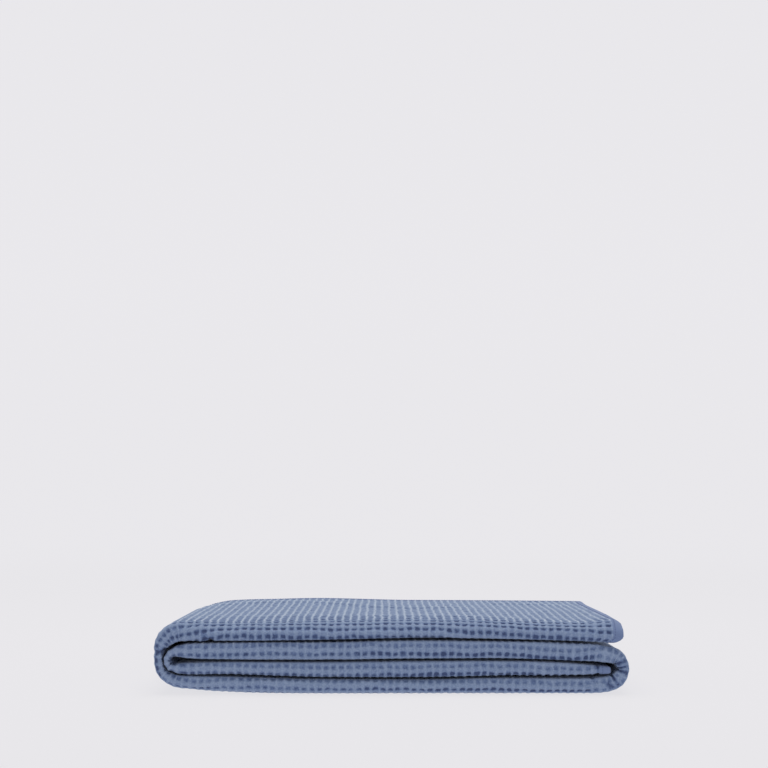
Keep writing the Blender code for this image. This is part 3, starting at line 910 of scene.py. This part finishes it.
STITCH_IN = 0.80            # share of the hem's width
STITCH_LONG = 2.3
STITCH_PITCH = 3.1
THREAD = 0.7
ON_HEM = 1.62               # the hem's face there, off the middle of its layer
THREAD_OVER = 0.1           # the thread's middle over that face
PRESSED_FLAT = 0.3          # no stitch stands out where the hem is pressed to the floor
stitches = bmesh.new()
line = [inset(*place, STITCH_IN) for place in round_edge]
line.append(line[0])
spots = [cloth_point(*place, ON_HEM) for place in line]
run = 0.0
for start, end, start_spot, end_spot in zip(line, line[1:], spots, spots[1:]):
    length = (end_spot - start_spot).length / MM
    while run < length:
        share = run / length
        column = start[0] + (end[0] - start[0]) * share
        row = start[1] + (end[1] - start[1]) * share
        spot = start_spot.lerp(end_spot, share)
        way = (end_spot - start_spot).normalized()
        out = cloth_point(column, row, ON_HEM + 1.0) - cloth_point(column, row, ON_HEM)
        run += STITCH_PITCH
        if out.length < PRESSED_FLAT * MM:
            continue
        out.normalize()
        side = out.cross(way).normalized()
        turn = Matrix((way, side, way.cross(side))).transposed().to_4x4()
        size = Matrix.Diagonal((STITCH_LONG / 2.0 * MM, THREAD / 2.0 * MM,
                                THREAD / 2.0 * MM, 1.0))
        bmesh.ops.create_icosphere(
            stitches, subdivisions=1, radius=1.0,
            matrix=Matrix.Translation(spot + out * THREAD_OVER * MM) @ turn @ size)
    run -= length
stitch_mesh = bpy.data.meshes.new("hem_stitches")
stitches.to_mesh(stitch_mesh)
stitches.free()
stitch_mesh.shade_smooth()
stitching = bpy.data.objects.new("hem_stitches", stitch_mesh)
bpy.context.scene.collection.objects.link(stitching)
# Spun cotton sewing thread, dyed a shade darker than the cloth: round and nearly matt. It
# is drawn about twice its real thickness, so that it shows.
thread = bpy.data.materials.new("cotton_thread")
thread.use_nodes = True
thread_surface = thread.node_tree.nodes["Principled BSDF"]
thread_surface.inputs["Base Color"].default_value = from_hex("#56668e")
thread_surface.inputs["Roughness"].default_value = 0.8
thread_surface.inputs["Specular IOR Level"].default_value = 0.25
stitching.data.materials.append(thread)
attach(stitching, "root")


# ---- Floor and backdrop -----------------------------------------------------------------
# A plain pale cove all round: a floor that turns up into a wall, as in a photo studio.

FLOOR_RADIUS = 5.0
COVE = 1.2                  # radius of the turn from floor to wall
COVE_STEPS = 16
WALL_TOP = 3.4
cove = bmesh.new()
outline = [cove.verts.new((0.0, 0.0, 0.0)), cove.verts.new((1.0, 0.0, 0.0)),
           cove.verts.new((FLOOR_RADIUS, 0.0, 0.0))]
for step in range(1, COVE_STEPS + 1):
    angle = math.radians(90.0 * step / COVE_STEPS)
    outline.append(cove.verts.new((FLOOR_RADIUS + COVE * math.sin(angle), 0.0,
                                   COVE * (1.0 - math.cos(angle)))))
outline.append(cove.verts.new((FLOOR_RADIUS + COVE, 0.0, WALL_TOP)))
edges = [cove.edges.new(pair) for pair in zip(outline, outline[1:])]
bmesh.ops.spin(cove, geom=outline + edges, cent=(0.0, 0.0, 0.0), axis=(0.0, 0.0, 1.0),
               angle=math.tau, steps=96, use_merge=True)
bmesh.ops.remove_doubles(cove, verts=cove.verts[:], dist=1e-5)
bmesh.ops.recalc_face_normals(cove, faces=cove.faces[:])
cove_mesh = bpy.data.meshes.new("floor")
cove.to_mesh(cove_mesh)
cove.free()
cove_mesh.shade_smooth()
floor = bpy.data.objects.new("floor", cove_mesh)
bpy.context.scene.collection.objects.link(floor)
# Seamless backdrop paper off a roll: matt and pale, with no gloss and hardly a shadow.
paper = bpy.data.materials.new("matt_backdrop_paper")
paper.use_nodes = True
paper_surface = paper.node_tree.nodes["Principled BSDF"]
paper_surface.inputs["Base Color"].default_value = from_hex("#58575a")
paper_surface.inputs["Roughness"].default_value = 1.0
paper_surface.inputs["Specular IOR Level"].default_value = 0.0
paper_surface.inputs["Emission Color"].default_value = from_hex("#e9e8eb")
# The paper is lit a little from behind, more so away from the bank over the pile.
paper_place = add_node(paper, "ShaderNodeTexCoord")
paper_out = add_node(paper, "ShaderNodeVectorMath", {"operation": "LENGTH"},
                     {0: paper_place.outputs["Object"]})
paper_glow = add_node(paper, "ShaderNodeMapRange", {"interpolation_type": "SMOOTHSTEP"},
                      {"Value": paper_out.outputs["Value"]},
                      {"From Min": 0.3, "From Max": 4.0, "To Min": 0.875, "To Max": 0.925})
paper.node_tree.links.new(paper_glow.outputs[0], paper_surface.inputs["Emission Strength"])
floor.data.materials.append(paper)


# ---- Light ------------------------------------------------------------------------------
# Soft studio light: a strong bank close overhead, and pale light all round.

world = bpy.data.worlds.new("pale_room")
world.use_nodes = True
world.node_tree.nodes["Background"].inputs["Color"].default_value = (1.0, 1.0, 1.0, 1.0)
world.node_tree.nodes["Background"].inputs["Strength"].default_value = 0.39
bpy.context.scene.world = world


BANK_COLOUR = (1.0, 0.975, 0.93)    # slightly warm


def add_bank(name, place, aim, width, height, watts):
    """A soft rectangular light, turned to face its aim."""
    data = bpy.data.lights.new(name, "AREA")
    data.shape = "RECTANGLE"
    data.size = width
    data.size_y = height
    data.energy = watts
    data.color = BANK_COLOUR
    bank = bpy.data.objects.new(name, data)
    bank.location = place
    bank.rotation_euler = (Vector(aim) - Vector(place)).to_track_quat("-Z", "Y").to_euler()
    bpy.context.scene.collection.objects.link(bank)


add_bank("overhead_bank", (0.0, 0.2, 2.2), (0.0, 0.0, 0.0), 2.2, 1.8, 34.5)

bpy.context.scene.view_settings.view_transform = "Standard"
bpy.context.scene.view_settings.look = "None"
